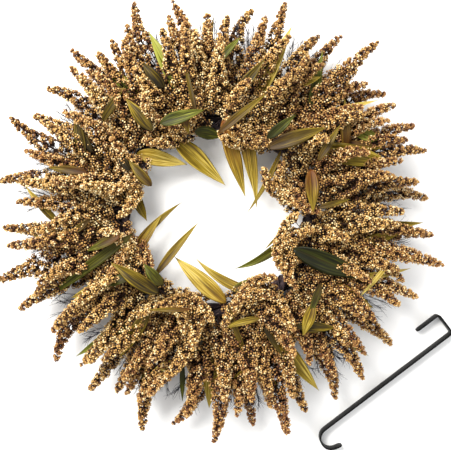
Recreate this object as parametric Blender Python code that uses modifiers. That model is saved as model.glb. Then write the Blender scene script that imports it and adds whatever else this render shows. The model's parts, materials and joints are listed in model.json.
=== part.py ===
"""Harvest door wreath with its over-door hanger, laid out flat.

The wreath lies on its back: +Z is its decorated front, +Y its top when it hangs, +X its right.
Three vine strands are twisted into a ring. Eight bunches are bound to the ring with wire, and
each bunch holds grain sprays and a leaf on bendable wire stems, so it turns about the ring.
The door hanger is a loose strap of steel that lies on its edge beside the wreath.
The origin is under the middle of the whole set, on the surface that it lies on.
"""

import math
import random

import bmesh
import bpy
from mathutils import Vector

# Vine ring
RING_RADIUS = 0.160  # centre line of the twisted bundle
STRAND_COUNT = 3
STRAND_RADIUS = 0.006
STRAND_GAP = 0.0019  # between neighbouring strands, measured square across the bundle
STRAND_TURNS = 6  # times a strand winds round the bundle in one trip round the ring
STRAND_POINTS = 60
TUBE_RESOLUTION = 2  # gives a tube of eight sides

# Binding wire, one turn round the bundle for each bunch
WIRE_RADIUS = 0.0010
WIRE_CLEARANCE = 0.0009

# Bunches
BUNCH_COUNT = 8
BUNCH_START = math.radians(22.5)  # so that the hook takes the ring between two bunches
STEM_RADIUS = 0.0025
STEM_CLEARANCE = 0.0015  # from the binding wire to the foot of a stem
SPRAY_POINTS = 9
SHOULDER = 0.38  # where along a spray its full width is reached
STEM_SHARE = 0.10  # the bare part of the stem
JITTER_SEED = 11

# Outer sprays reach the wreath's edge
TIP_RADIUS = 0.357
OUTER_PER_BUNCH = 3
OUTER_WIDTH = 0.034
OUTER_RISE = (math.radians(7), math.radians(16), math.radians(9))
OUTER_ARCH = math.radians(12)
OUTER_FOOT = math.radians(12)  # where the stem leaves the bundle, from its outer side to its front
OUTER_LENGTH_JITTER = 0.012
OUTER_SWING = math.radians(4)  # sideways, either way

# Front sprays stand up from the ring: the middle ones lean outwards, the inner ones stand steeper
FRONT_WIDTH = 0.036
MIDDLE_LENGTH = 0.150
MIDDLE_RISE = math.radians(36)
MIDDLE_FOOT = math.radians(72)
INNER_LENGTH = 0.124
INNER_RISE = math.radians(57)
INNER_FOOT = math.radians(118)
FRONT_ARCH = math.radians(22)

SPRAY_TIP_RADIUS = 0.006

# Leaves that reach into the opening of the ring
LEAF_WIDTH_SHARE = 0.1375  # of the ring's radius
LEAF_THICKNESS = 0.0012
LEAF_FOLD = 0.003  # height of the two edges over the midrib
LEAF_RISE = math.radians(11)
LEAF_CURL = 0.006
LEAF_FOOT = math.radians(146)
LEAF_FOOT_WIDTH = 0.003
LEAF_STEPS = 7
# One leaf for each bunch: place from the bunch's middle and turn from straight inwards, both in
# degrees, then its length as a share of the ring's radius
LEAF_PLACES = (
    (4.0, 26.0, 0.4875),
    (15.5, 20.0, 0.7875),
    (-14.5, 14.0, 0.55),
    (19.0, 27.0, 0.50),
    (18.0, 2.0, 0.54),
    (17.5, 44.0, 0.54),
    (-1.5, 37.0, 0.625),
    (-9.0, 44.0, 0.5875),
)

# Door hanger, a bent steel strap
DOOR_THICKNESS = 0.035
DOOR_CLEARANCE = 0.001
STRAP_THICKNESS = 0.0025
STRAP_WIDTH = 0.020
STRAP_CORNER = 0.007  # rounding of the strap's two cut ends
HANGER_LENGTH = 0.292
LIP_LENGTH = 0.046
BEND_RADIUS = 0.0035  # centre line of the two square bends
HOOK_CLEARANCE = 0.0055  # room beside the bundle inside the hook
HOOK_TURN = 165  # degrees; the tip opens outwards a little
HOOK_TIP_LENGTH = 0.013
HOOK_STEPS = 14
BEND_STEPS = 4
END_STEPS = 4

# Where the hanger lies: its shank passes the wreath at a distance, square to this bearing
HANGER_BEARING = math.radians(217.2)  # direction from the top bar down the shank
HANGER_STAND_OFF = 0.042  # from the circle of the spray tips to the shank
HANGER_ADVANCE = 0.199  # top bar's distance from the shank's nearest point to the ring's centre

# Values that follow from the ones above
LEAF_WIDTH = LEAF_WIDTH_SHARE * RING_RADIUS
STRAND_OFFSET = (2 * STRAND_RADIUS + STRAND_GAP) / math.sqrt(3)
BUNDLE_RADIUS = STRAND_OFFSET + STRAND_RADIUS
WIRE_RING_RADIUS = BUNDLE_RADIUS + WIRE_CLEARANCE + WIRE_RADIUS
RING_HEIGHT = WIRE_RING_RADIUS + WIRE_RADIUS
STEM_OFFSET = WIRE_RING_RADIUS + WIRE_RADIUS + STEM_CLEARANCE
BUNCH_PITCH = math.tau / BUNCH_COUNT
SLOT_WIDTH = DOOR_THICKNESS + DOOR_CLEARANCE
HOOK_RADIUS = BUNDLE_RADIUS + (HOOK_CLEARANCE + STRAP_THICKNESS) / 2


def clear_scene():
    """Removes every object, so that the script starts from nothing."""
    for old in list(bpy.data.objects):
        bpy.data.objects.remove(old)


def to_linear(hex_colour):
    """An sRGB hex colour as the linear RGBA that a shader takes."""
    channels = [int(hex_colour[i:i + 2], 16) / 255 for i in (1, 3, 5)]
    linear = [c / 12.92 if c <= 0.04045 else ((c + 0.055) / 1.055) ** 2.4 for c in channels]
    return (*linear, 1.0)


def make_material(name, hex_colour, roughness, metallic=0.0):
    material = bpy.data.materials.new(name)
    material.use_nodes = True
    shader = material.node_tree.nodes["Principled BSDF"]
    shader.inputs["Base Color"].default_value = to_linear(hex_colour)
    shader.inputs["Roughness"].default_value = roughness
    shader.inputs["Metallic"].default_value = metallic
    return material


def add_part(name, data, material):
    """A new object of the wreath, wearing its material."""
    data.materials.append(material)
    part = bpy.data.objects.new(name, data)
    parts_collection.objects.link(part)
    return part


def make_tube(name, points, radii, material, cyclic=False):
    """A tube or tapered stem: a polyline with a round bevel and a radius at each point."""
    curve = bpy.data.curves.new(name, "CURVE")
    curve.dimensions = "3D"
    curve.bevel_depth = 1.0
    curve.bevel_resolution = TUBE_RESOLUTION
    curve.use_fill_caps = not cyclic
    spline = curve.splines.new("POLY")
    spline.points.add(len(points) - 1)
    for spot, place, radius in zip(spline.points, points, radii):
        spot.co = (*place, 1.0)
        spot.radius = radius
    spline.use_cyclic_u = cyclic
    spline.use_smooth = True
    return add_part(name, curve, material)


def hold(part, parent):
    """Parents the part and leaves it where it is."""
    part.parent = parent
    part.matrix_parent_inverse = parent.matrix_world.inverted()


def on_ring(azimuth, foot=0.0, offset=0.0):
    """A point at an offset from the bundle's centre line; foot 0 is its outer side and 90 degrees its front."""
    reach = RING_RADIUS + offset * math.cos(foot)
    height = RING_HEIGHT + offset * math.sin(foot)
    return Vector((reach * math.cos(azimuth), reach * math.sin(azimuth), height))


def make_strand(number):
    """One strand: it winds round the bundle's centre line while it goes round the ring, and closes on itself."""
    phase = math.tau * number / STRAND_COUNT
    points = []
    for step in range(STRAND_POINTS):
        azimuth = math.tau * step / STRAND_POINTS
        points.append(on_ring(azimuth, STRAND_TURNS * azimuth + phase, STRAND_OFFSET))
    radii = [STRAND_RADIUS] * STRAND_POINTS
    strand = make_tube(f"vine_strand_{number + 1}", points, radii, VINE, cyclic=True)
    hold(strand, wreath)


def make_binding(number):
    """One turn of wire round the bundle, square to the ring, in the middle of a bunch."""
    azimuth = BUNCH_START + number * BUNCH_PITCH
    bpy.ops.mesh.primitive_torus_add(
        major_radius=WIRE_RING_RADIUS, minor_radius=WIRE_RADIUS,
        major_segments=16, minor_segments=5,
        location=on_ring(azimuth), rotation=(math.pi / 2, 0, azimuth),
    )
    wire = bpy.context.object
    bpy.context.collection.objects.unlink(wire)
    parts_collection.objects.link(wire)
    wire.name = f"binding_wire_{number + 1}"
    wire.data.materials.append(WIRE)
    wire.data.shade_smooth()
    hold(wire, wreath)


def arc_points(length, arch, count):
    """Points along +X on an arc whose chord has the given length and which turns down by arch in all."""
    scale = length / (2 * math.sin(arch / 2))
    points = []
    for step in range(count):
        turn = arch / 2 - arch * step / (count - 1)
        points.append(Vector((
            scale * (math.sin(arch / 2) - math.sin(turn)),
            0,
            scale * (math.cos(turn) - math.cos(arch / 2)),
        )))
    return points


def spray_radius(share, width):
    """The spray's radius at a share of its length: bare stem, swelling to the shoulder, tapering to the tip."""
    if share <= STEM_SHARE:
        return STEM_RADIUS
    if share < SHOULDER:
        swell = (share - STEM_SHARE) / (SHOULDER - STEM_SHARE)
        return STEM_RADIUS + (width / 2 - STEM_RADIUS) * math.sin(swell * math.pi / 2)
    taper = (share - SHOULDER) / (1 - SHOULDER)
    return width / 2 + (SPRAY_TIP_RADIUS - width / 2) * taper ** 1.3


def make_spray(name, pivot, azimuth, foot, heading, rise, length, width, arch):
    """One grain spray: a tapered body on its stem, from its foot beside the bundle, up and out."""
    points = arc_points(length, arch, SPRAY_POINTS)
    radii = [spray_radius(i / (SPRAY_POINTS - 1), width) for i in range(SPRAY_POINTS)]
    spray = make_tube(name, points, radii, GRAIN)
    spray.location = on_ring(azimuth, foot, STEM_OFFSET)
    spray.rotation_euler = (0, -rise, heading)
    bpy.context.view_layer.update()
    hold(spray, pivot)


def make_outer_sprays(bunch, pivot, middle, chance):
    """The bunch's sprays that reach the wreath's edge, evenly spaced round the whole ring."""
    pitch = BUNCH_PITCH / OUTER_PER_BUNCH
    for place in range(OUTER_PER_BUNCH):
        azimuth = middle + (place - (OUTER_PER_BUNCH - 1) / 2) * pitch
        rise = OUTER_RISE[place % len(OUTER_RISE)]
        tip = TIP_RADIUS + chance.uniform(-OUTER_LENGTH_JITTER, OUTER_LENGTH_JITTER)
        foot_reach = RING_RADIUS + STEM_OFFSET * math.cos(OUTER_FOOT)
        length = (tip - foot_reach) / math.cos(rise)
        heading = azimuth + chance.uniform(-OUTER_SWING, OUTER_SWING)
        number = bunch * OUTER_PER_BUNCH + place + 1
        make_spray(
            f"spray_outer_{number:02d}", pivot, azimuth, OUTER_FOOT, heading, rise, length, OUTER_WIDTH, OUTER_ARCH
        )


def make_front_sprays(bunch, pivot, middle):
    """The bunch's two sprays on the ring's front, one leaning out and one standing steeper."""
    make_spray(
        f"spray_middle_{bunch + 1}", pivot, middle - BUNCH_PITCH / 4, MIDDLE_FOOT, middle - BUNCH_PITCH / 4,
        MIDDLE_RISE, MIDDLE_LENGTH, FRONT_WIDTH, FRONT_ARCH,
    )
    make_spray(
        f"spray_inner_{bunch + 1}", pivot, middle + BUNCH_PITCH / 4, INNER_FOOT, middle + BUNCH_PITCH / 4,
        INNER_RISE, INNER_LENGTH, FRONT_WIDTH, FRONT_ARCH,
    )


def leaf_half_width(share):
    """Half the blade's width at a share of its length: narrow foot, widest before the middle, long point."""
    belly = math.sin(math.pi * share ** 0.8)
    return LEAF_FOOT_WIDTH / 2 * (1 - share) + LEAF_WIDTH / 2 * belly + LEAF_THICKNESS / 4


def make_leaf(bunch, pivot, middle):
    """One lanceolate leaf along +X, folded up a little from its midrib and curled down at its point."""
    offset, turn, length_share = LEAF_PLACES[bunch % len(LEAF_PLACES)]
    length = length_share * RING_RADIUS
    mesh = bpy.data.meshes.new(f"leaf_{bunch + 1}")
    blade = bmesh.new()
    bmesh.ops.create_grid(blade, x_segments=LEAF_STEPS, y_segments=2, size=0.5)
    for vertex in blade.verts:
        share = vertex.co.x + 0.5
        side = vertex.co.y * 2
        vertex.co = (
            share * length,
            side * leaf_half_width(share),
            abs(side) * LEAF_FOLD * math.sin(math.pi * share) - LEAF_CURL * share ** 2,
        )
    blade.to_mesh(mesh)
    blade.free()
    leaf = add_part(f"leaf_{bunch + 1}", mesh, LEAF)
    azimuth = middle + math.radians(offset)
    leaf.location = on_ring(azimuth, LEAF_FOOT, STEM_OFFSET)
    leaf.rotation_euler = (0, -LEAF_RISE, azimuth + math.pi + math.radians(turn))
    shell = leaf.modifiers.new("blade thickness", "SOLIDIFY")
    shell.thickness = LEAF_THICKNESS
    shell.offset = 0
    bpy.context.view_layer.update()
    hold(leaf, pivot)


def make_bunch(bunch, chance):
    """One bunch on an empty that sits on the bunch's bending axis, in the middle of the bundle."""
    middle = BUNCH_START + bunch * BUNCH_PITCH
    pivot = bpy.data.objects.new(f"bunch_{bunch + 1}_pivot", None)
    pivot.location = on_ring(middle)
    pivot.rotation_euler = (0, 0, middle)
    parts_collection.objects.link(pivot)
    bpy.context.view_layer.update()
    hold(pivot, wreath)
    bpy.context.view_layer.update()
    make_outer_sprays(bunch, pivot, middle, chance)
    make_front_sprays(bunch, pivot, middle)
    make_leaf(bunch, pivot, middle)


def add_arc(path, centre, radius, start, turn, steps):
    """Adds an arc to the path, its two ends included, in degrees."""
    for step in range(steps + 1):
        angle = math.radians(start + turn * step / steps)
        path.append(Vector((centre[0] + radius * math.cos(angle), centre[1] + radius * math.sin(angle), 0)))


def end_rounding(step):
    """How far from a cut end a step of its round corners lies."""
    return STRAP_CORNER * (1 - math.cos(math.pi / 2 * step / END_STEPS))


def hanger_path():
    """The strap's centre line: lip, top bar, shank along +X, hook and tip."""
    lip_line = -(SLOT_WIDTH + STRAP_THICKNESS)
    shank_end = HANGER_LENGTH - HOOK_RADIUS - STRAP_THICKNESS
    path = [Vector((LIP_LENGTH - end_rounding(step), lip_line, 0)) for step in range(END_STEPS + 1)]
    add_arc(path, (BEND_RADIUS, lip_line + BEND_RADIUS), BEND_RADIUS, -90, -90, BEND_STEPS)
    add_arc(path, (BEND_RADIUS, -BEND_RADIUS), BEND_RADIUS, 180, -90, BEND_STEPS)
    add_arc(path, (shank_end, HOOK_RADIUS), HOOK_RADIUS, -90, HOOK_TURN, HOOK_STEPS)
    hook_end = path[-1]
    tip_way = Vector((math.cos(math.radians(HOOK_TURN)), math.sin(math.radians(HOOK_TURN)), 0))
    for step in range(END_STEPS, -1, -1):
        path.append(hook_end + tip_way * (HOOK_TIP_LENGTH - end_rounding(step)))
    return path


def strap_half_width(left):
    """Half the strap's width at a distance from its cut end, where the corners are round."""
    if left >= STRAP_CORNER:
        return STRAP_WIDTH / 2
    return STRAP_WIDTH / 2 - STRAP_CORNER + math.sqrt(STRAP_CORNER ** 2 - (STRAP_CORNER - left) ** 2)


def make_hanger():
    """The strap as a ribbon on its edge along its centre line, with Solidify for its thickness."""
    path = hanger_path()
    run = [0.0]
    for before, after in zip(path, path[1:]):
        run.append(run[-1] + (after - before).length)
    mesh = bpy.data.meshes.new("door_hanger")
    ribbon = bmesh.new()
    rows = []
    for place, gone in zip(path, run):
        half = strap_half_width(min(gone, run[-1] - gone))
        rows.append([ribbon.verts.new(place + Vector((0, 0, side * half))) for side in (-1, 1)])
    for (low, high), (next_low, next_high) in zip(rows, rows[1:]):
        ribbon.faces.new((low, next_low, next_high, high))
    ribbon.to_mesh(mesh)
    ribbon.free()
    hanger = add_part("door_hanger", mesh, STEEL)
    shell = hanger.modifiers.new("strap thickness", "SOLIDIFY")
    shell.thickness = STRAP_THICKNESS
    shell.offset = 0
    shell.use_even_offset = True
    down_shank = Vector((math.cos(HANGER_BEARING), math.sin(HANGER_BEARING), 0))
    away = Vector((-down_shank.y, down_shank.x, 0))
    hanger.location = away * (TIP_RADIUS + HANGER_STAND_OFF) - down_shank * HANGER_ADVANCE
    hanger.location.z = STRAP_WIDTH / 2
    hanger.rotation_euler = (0, 0, HANGER_BEARING)
    bpy.context.view_layer.update()
    hold(hanger, wreath)


def middle_of_set():
    """The middle of the plan of all finished parts, as the viewport shows them."""
    graph = bpy.context.evaluated_depsgraph_get()
    corners = []
    for part in parts_collection.objects:
        if part.type != "EMPTY":
            shown = part.evaluated_get(graph)
            corners += [shown.matrix_world @ vertex.co for vertex in shown.to_mesh().vertices]
            shown.to_mesh_clear()
    return [(min(c[axis] for c in corners) + max(c[axis] for c in corners)) / 2 for axis in (0, 1)]


clear_scene()
parts_collection = bpy.data.collections.new("harvest_door_wreath")
bpy.context.scene.collection.children.link(parts_collection)
VINE = make_material("dark vine", "#33262A", 0.75)
WIRE = make_material("blackened binding wire", "#2A2723", 0.5, 0.6)
GRAIN = make_material("golden grain beads", "#B98D4D", 0.6)
LEAF = make_material("olive soft leaf plastic", "#74732A", 0.55)
STEEL = make_material("satin black powder coat", "#2B2B2C", 0.45)

wreath = bpy.data.objects.new("wreath", None)
parts_collection.objects.link(wreath)
for strand in range(STRAND_COUNT):
    make_strand(strand)
for bunch in range(BUNCH_COUNT):
    make_binding(bunch)
jitter = random.Random(JITTER_SEED)
for bunch in range(BUNCH_COUNT):
    make_bunch(bunch, jitter)
make_hanger()

bpy.context.view_layer.update()
middle_x, middle_y = middle_of_set()
wreath.location = (-middle_x, -middle_y, 0)
bpy.context.view_layer.update()
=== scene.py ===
# %% [markdown]
# # A harvest door wreath in Blender
#
# The wreath is a ring of twisted vine. Eight bunches of grain sprays, leaves and grass are bound to
# it with wire, and an over-door hanger lies beside it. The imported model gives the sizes, the bodies
# and their hinges; the cells below dress each of its solids with the shape and finish that the real
# piece has. Lengths in the tables are in millimetres and turn into metres where a shape is made.

# %% The fixed frame
import json
import math
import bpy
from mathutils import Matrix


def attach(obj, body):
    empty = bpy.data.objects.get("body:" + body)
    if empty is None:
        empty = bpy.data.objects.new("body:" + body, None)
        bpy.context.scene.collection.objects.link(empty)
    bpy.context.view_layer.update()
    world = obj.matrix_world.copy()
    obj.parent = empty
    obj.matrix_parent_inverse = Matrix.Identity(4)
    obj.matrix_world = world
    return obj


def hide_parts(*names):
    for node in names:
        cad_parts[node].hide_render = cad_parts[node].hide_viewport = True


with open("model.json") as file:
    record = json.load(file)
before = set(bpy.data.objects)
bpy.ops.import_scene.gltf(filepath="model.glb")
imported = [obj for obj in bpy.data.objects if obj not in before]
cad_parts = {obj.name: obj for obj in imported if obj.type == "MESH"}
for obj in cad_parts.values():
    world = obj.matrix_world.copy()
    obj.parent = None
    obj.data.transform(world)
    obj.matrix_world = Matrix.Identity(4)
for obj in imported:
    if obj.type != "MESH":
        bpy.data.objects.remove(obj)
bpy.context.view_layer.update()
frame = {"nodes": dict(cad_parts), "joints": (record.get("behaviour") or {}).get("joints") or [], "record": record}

from types import SimpleNamespace

import bmesh
import bpy
import numpy as np

# %% [markdown]
# ## Places on the ring
#
# Every bunch turns about the ring's own centre line, so the eight hinges lie on that line. Their
# mean is the wreath's middle, and their distance from it is the ring's radius. All places in the
# tables are then bearings round the ring and reaches from its middle.

# %% Places on the ring
MM = 0.001
BUNCHES = 8
hinges = {j["child"]: np.array(j["pos_m"]) for j in frame["joints"] if j["type"] == "hinge"}
middle = np.mean(list(hinges.values()), axis=0)
ring_radius = float(np.linalg.norm(hinges["bunch_1"] - middle))
print("middle of the ring", middle.round(4), "radius", round(ring_radius, 4))


def at(bearing, reach, height):
    """A point in metres, from degrees and mm: middle + reach x (cos, sin of the bearing), at a height."""
    turn = np.radians(bearing)
    return np.array([
        middle[0] + reach * MM * np.cos(turn), middle[1] + reach * MM * np.sin(turn), height * MM
    ])


def bunch_at(bearing):
    """The number of the bunch, 1 to 8: whole eighths of the ring that the bearing has passed, plus 1."""
    return int((bearing % 360) // (360 / BUNCHES)) + 1


print("bearing 100 is in bunch", bunch_at(100))

# %% [markdown]
# ## The camera, the light and the floor
#
# The wreath is seen square on, so the camera hangs over it and looks straight down. One large soft
# lamp from the upper left models the round beads, a pale world fills the gaps, and the floor is a
# plain pale sheet.

# %% Camera, light and floor
CAMERA_HEIGHT = 1.25
CAMERA_OFFSET = (0.0157, -0.0149)
LENS = 58.2
WORLD_STRENGTH = 0.75

camera = bpy.data.objects.new("camera", bpy.data.cameras.new("camera"))
camera.data.sensor_width = 36
camera.data.lens = LENS
camera.location = (middle[0] + CAMERA_OFFSET[0], middle[1] + CAMERA_OFFSET[1], CAMERA_HEIGHT)
bpy.context.scene.collection.objects.link(camera)
bpy.context.scene.camera = camera
bpy.context.scene.view_settings.view_transform = "Standard"


def add_lamp(name, place, size, watts, colour):
    """
    A square lamp that faces the origin: tipped by the angle whose tangent is its distance in plan over
    its height, and turned a quarter turn past its bearing.
    """
    lamp = bpy.data.objects.new(name, bpy.data.lights.new(name, "AREA"))
    lamp.data.size = size
    lamp.data.energy = watts
    lamp.data.color = colour
    lamp.location = place
    lamp.rotation_euler = (
        math.atan2(np.linalg.norm(place[:2]), place[2]), 0, math.atan2(place[1], place[0]) + math.pi / 2
    )
    bpy.context.scene.collection.objects.link(lamp)


add_lamp("key", (-0.9, 1.0, 1.7), 1.2, 100, (1.0, 0.98, 0.95))
add_lamp("fill", (1.2, -0.7, 1.9), 1.6, 12, (0.95, 0.97, 1.0))

world = bpy.data.worlds.new("pale studio")
bpy.context.scene.world = world
world.use_nodes = True
background = world.node_tree.nodes["Background"]
background.inputs["Color"].default_value = (1.0, 1.0, 1.0, 1.0)
background.inputs["Strength"].default_value = WORLD_STRENGTH
print("camera", CAMERA_HEIGHT, "m up with a lens of", LENS, "mm")

# %% [markdown]
# ## Small helpers for materials
#
# A colour is written as its sRGB hex value and one function turns it to the linear numbers that a
# shader takes. One function adds a node with its settings and links, so that each finish below
# reads as a short list.

# %% Material helpers


def linear(hex_colour):
    """An sRGB hex colour as linear RGBA: c/12.92 below 0.04045, else ((c + 0.055)/1.055) to the 2.4."""
    srgb = np.array([int(hex_colour[i:i + 2], 16) for i in (1, 3, 5)]) / 255
    return (*np.where(srgb <= 0.04045, srgb / 12.92, ((srgb + 0.055) / 1.055) ** 2.4), 1.0)


def add_node(tree, kind, settings=None, result=0, **inputs):
    """
    Adds a node and gives back one of its outputs. Settings are its properties. An input is named, or
    numbered as i0, i1 and so on, and its value is a number, a colour or another node's output.
    """
    node = tree.nodes.new("ShaderNode" + kind)
    for key, value in (settings or {}).items():
        setattr(node, key, value)
    for key, value in inputs.items():
        numbered = key[0] == "i" and key[1:].isdigit()
        socket = node.inputs[int(key[1:]) if numbered else key]
        if isinstance(value, bpy.types.NodeSocket):
            tree.links.new(value, socket)
        else:
            socket.default_value = value
    return node.outputs[result]


def new_material(name, roughness, specular=0.5):
    """A material with its node tree and its Principled shader."""
    material = bpy.data.materials.new(name)
    material.use_nodes = True
    shader = material.node_tree.nodes["Principled BSDF"]
    shader.inputs["Roughness"].default_value = roughness
    shader.inputs["Specular IOR Level"].default_value = specular
    return material, material.node_tree, shader


def set_stops(ramp_colour, stops):
    """Gives the colour ramp behind an output its stops, each a place from 0 to 1 and a hex colour."""
    elements = ramp_colour.node.color_ramp.elements
    while len(elements) < len(stops):
        elements.new(1.0)
    for element, (place, colour) in zip(elements, stops):
        element.position = place
        element.color = linear(colour)


print("gold as linear numbers", np.round(linear("#8A6233"), 3))

# %% The floor
# Uncoated backing paper: matt and nearly white, so it only takes the soft shadows
paper, _, paper_shader = new_material("white backing paper", 0.9, 0.2)
paper_shader.inputs["Base Color"].default_value = linear("#F6F6F5")
FLOOR_HALF = 6.0
FLOOR_DROP = 0.0006
floor_mesh = bpy.data.meshes.new("floor")
FLOOR_SIGNS = ((-1, -1), (1, -1), (1, 1), (-1, 1))
floor_mesh.from_pydata(
    [(x * FLOOR_HALF, y * FLOOR_HALF, -FLOOR_DROP) for x, y in FLOOR_SIGNS], [], [(0, 1, 2, 3)]
)
floor = bpy.data.objects.new("floor", floor_mesh)
floor.data.materials.append(paper)
bpy.context.scene.collection.objects.link(floor)
print("floor", 2 * FLOOR_HALF, "m wide,", FLOOR_DROP, "m under the wreath")

# %% [markdown]
# ## Shapes as whole arrays
#
# A piece here is a batch of many small closed shapes: beads, stalks, leaves. Each kind of shape is a
# function that works out all its points at once with numpy and returns them with their faces.
# Joining shapes is then just stacking arrays, and one call puts the result into a Blender mesh.
#
# A shape holds its points, its faces (one array for each number of corners), the material slot and
# the island number of each face, and marks: numbers on its points that materials read.

# %% Shapes


def shape(points, faces, slot=0, islands=None, **marks):
    """Holds points (n, 3), a list of face arrays (m, k), one slot for all, an island number for each face."""
    islands = islands or [np.zeros(len(f), int) for f in faces]
    marks = {name: np.broadcast_to(value, len(points)).astype(np.float32) for name, value in marks.items()}
    slots = [slot] * len(faces)
    return SimpleNamespace(points=points, faces=faces, slots=slots, islands=islands, marks=marks)


def joined(shapes):
    """One shape from several: each one's point numbers and island numbers start where the last one's end."""
    points, faces, slots, islands = [], [], [], []
    first_point = first_island = 0
    for one in shapes:
        points.append(one.points)
        faces += [f + first_point for f in one.faces]
        slots += one.slots
        islands += [i + first_island for i in one.islands]
        first_point += len(one.points)
        first_island = max(int(i.max()) for i in islands if len(i)) + 1
    names = {name for one in shapes for name in one.marks}
    marks = {
        name: np.concatenate([one.marks.get(name, np.zeros(len(one.points), np.float32)) for one in shapes])
        for name in sorted(names)
    }
    points = np.concatenate(points)
    return SimpleNamespace(points=points, faces=faces, slots=slots, islands=islands, marks=marks)


def volume_of(mesh):
    """The volume in closed faces: a sixth of the sum of a.(b x c), above 0 if the triangles face out."""
    mesh.calc_loop_triangles()
    corners = np.zeros(len(mesh.loop_triangles) * 3, np.int32)
    mesh.loop_triangles.foreach_get("vertices", corners)
    places = np.zeros(len(mesh.vertices) * 3, np.float32)
    mesh.vertices.foreach_get("co", places)
    a, b, c = places.reshape(-1, 3).astype(float)[corners.reshape(-1, 3)].transpose(1, 0, 2)
    return float(np.einsum("ij,ij->i", a, np.cross(b, c)).sum() / 6)


triangle = shape(np.eye(3), [np.array([[0, 1, 2]])])
print("two triangles joined hold", len(joined([triangle, triangle]).points), "points")

# %% The bake map and one call that makes a piece
# Where a face's corners lie in its island's square of the map
ISLAND_CORNERS = {
    3: np.array([(0.15, 0.15), (0.85, 0.15), (0.15, 0.85)]),
    4: np.array([(0.15, 0.15), (0.85, 0.15), (0.85, 0.85), (0.15, 0.85)]),
}


def island_map(mesh, faces, islands):
    """
    A map with one square for each island: (column + corner, row + corner) / squares on a side. All faces
    of a bead share its square, as they share its colour.
    """
    side = math.ceil(math.sqrt(max(int(i.max()) for i in islands) + 1))
    spots = []
    for face, island in zip(faces, islands):
        corner = ISLAND_CORNERS.get(face.shape[1])
        if corner is None:
            turn = np.arange(face.shape[1]) * math.tau / face.shape[1]
            corner = 0.5 + 0.35 * np.stack([np.cos(turn), np.sin(turn)], axis=1)
        square = np.stack([island % side, island // side], axis=1)
        spots.append(((square[:, None] + corner[None]) / side).reshape(-1, 2))
    layer = mesh.uv_layers.new(name="OFBake")
    layer.uv.foreach_set("vector", np.concatenate(spots).astype(np.float32).ravel())


piece_count = SimpleNamespace(pieces=0, triangles=0)


def add_piece(name, made, materials, body, stands_for=(), with_map=False):
    """Puts a shape into a smooth mesh object at the origin, on its body; its triangles are corners less 2."""
    mesh = bpy.data.meshes.new(name)
    mesh.vertices.add(len(made.points))
    mesh.vertices.foreach_set("co", made.points.astype(np.float32).ravel())
    sizes = np.concatenate([np.full(len(f), f.shape[1]) for f in made.faces])
    mesh.loops.add(int(sizes.sum()))
    mesh.loops.foreach_set("vertex_index", np.concatenate([f.ravel() for f in made.faces]).astype(np.int32))
    mesh.polygons.add(len(sizes))
    mesh.polygons.foreach_set("loop_start", np.concatenate([[0], np.cumsum(sizes)[:-1]]).astype(np.int32))
    worn = np.concatenate([np.full(len(f), s) for f, s in zip(made.faces, made.slots)])
    mesh.polygons.foreach_set("material_index", worn.astype(np.int32))
    mesh.update(calc_edges=True)
    mesh.validate()
    mesh.shade_smooth()
    for mark, values in made.marks.items():
        mesh.attributes.new(mark, "FLOAT", "POINT").data.foreach_set("value", values)
    if with_map:
        island_map(mesh, made.faces, made.islands)
    piece = bpy.data.objects.new(name, mesh)
    for material in materials:
        mesh.materials.append(material)
    bpy.context.scene.collection.objects.link(piece)
    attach(piece, body)
    if stands_for:
        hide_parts(*stands_for)
    triangles = int((sizes - 2).sum())
    piece_count.pieces += 1
    piece_count.triangles += triangles
    print(f"{name}: {triangles} triangles, {volume_of(mesh) * 1e6:.1f} cm3")


print("a face has a place in its square for", sorted(ISLAND_CORNERS), "corners")


# %% [markdown]
# ## Tubes carried along paths
#
# Stems, stalks, grass and vine are all tubes: a circle carried along a path. At each point of the
# path the circle lies square to the way, on two directions called side and up. Blender's curves
# could do this too, but arrays make hundreds of stalks in one go.

# %% Tubes


def unit(vectors):
    """Vectors divided by their lengths."""
    return vectors / np.maximum(np.linalg.norm(vectors, axis=-1, keepdims=True), 1e-12)


def grid_faces(tubes, steps, sides, closed=False):
    """Quads between neighbouring rings of each tube: (p, s), (p, s+1), (p+1, s+1), (p+1, s)."""
    spans = steps if closed else steps - 1
    t, p, s = np.meshgrid(np.arange(tubes), np.arange(spans), np.arange(sides), indexing="ij")
    after, around = (p + 1) % steps, (s + 1) % sides
    corners = ((p, s), (p, around), (after, around), (after, s))
    quads = np.stack([(t * steps + step) * sides + side for step, side in corners], axis=-1)
    return quads.reshape(-1, 4), t.ravel()


def tubes(paths, radii, sides, closed=False, slot=0, **marks):
    """A tube for each path (t, p, 3): path + radius x (cos a side + sin a up), flat-ended unless closed."""
    count, steps = paths.shape[:2]
    if closed:
        way = unit(np.roll(paths, -1, axis=1) - np.roll(paths, 1, axis=1))
        reference = np.array([[[0.0, 0.0, 1.0]]])
    else:
        way = unit(np.gradient(paths, axis=1))
        reference = np.eye(3)[np.argmin(np.abs(way).mean(axis=1), axis=1)][:, None]
    side = unit(np.cross(reference, way))
    up = np.cross(way, side)
    angle = np.arange(sides) * math.tau / sides
    radii = np.broadcast_to(radii, (count, steps, sides) if np.ndim(radii) == 3 else (count, steps))
    radii = radii if radii.ndim == 3 else radii[..., None]
    ring = side[:, :, None] * np.cos(angle)[:, None] + up[:, :, None] * np.sin(angle)[:, None]
    points = (paths[:, :, None] + radii[..., None] * ring).reshape(-1, 3)
    quads, owner = grid_faces(count, steps, sides, closed)
    faces, islands = [quads], [owner]
    if not closed:
        start = np.arange(count)[:, None] * steps * sides + np.arange(sides)
        faces += [start[:, ::-1], start + (steps - 1) * sides]
        islands += [np.arange(count), np.arange(count)]
    return shape(points, faces, slot, islands, **marks)


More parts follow.
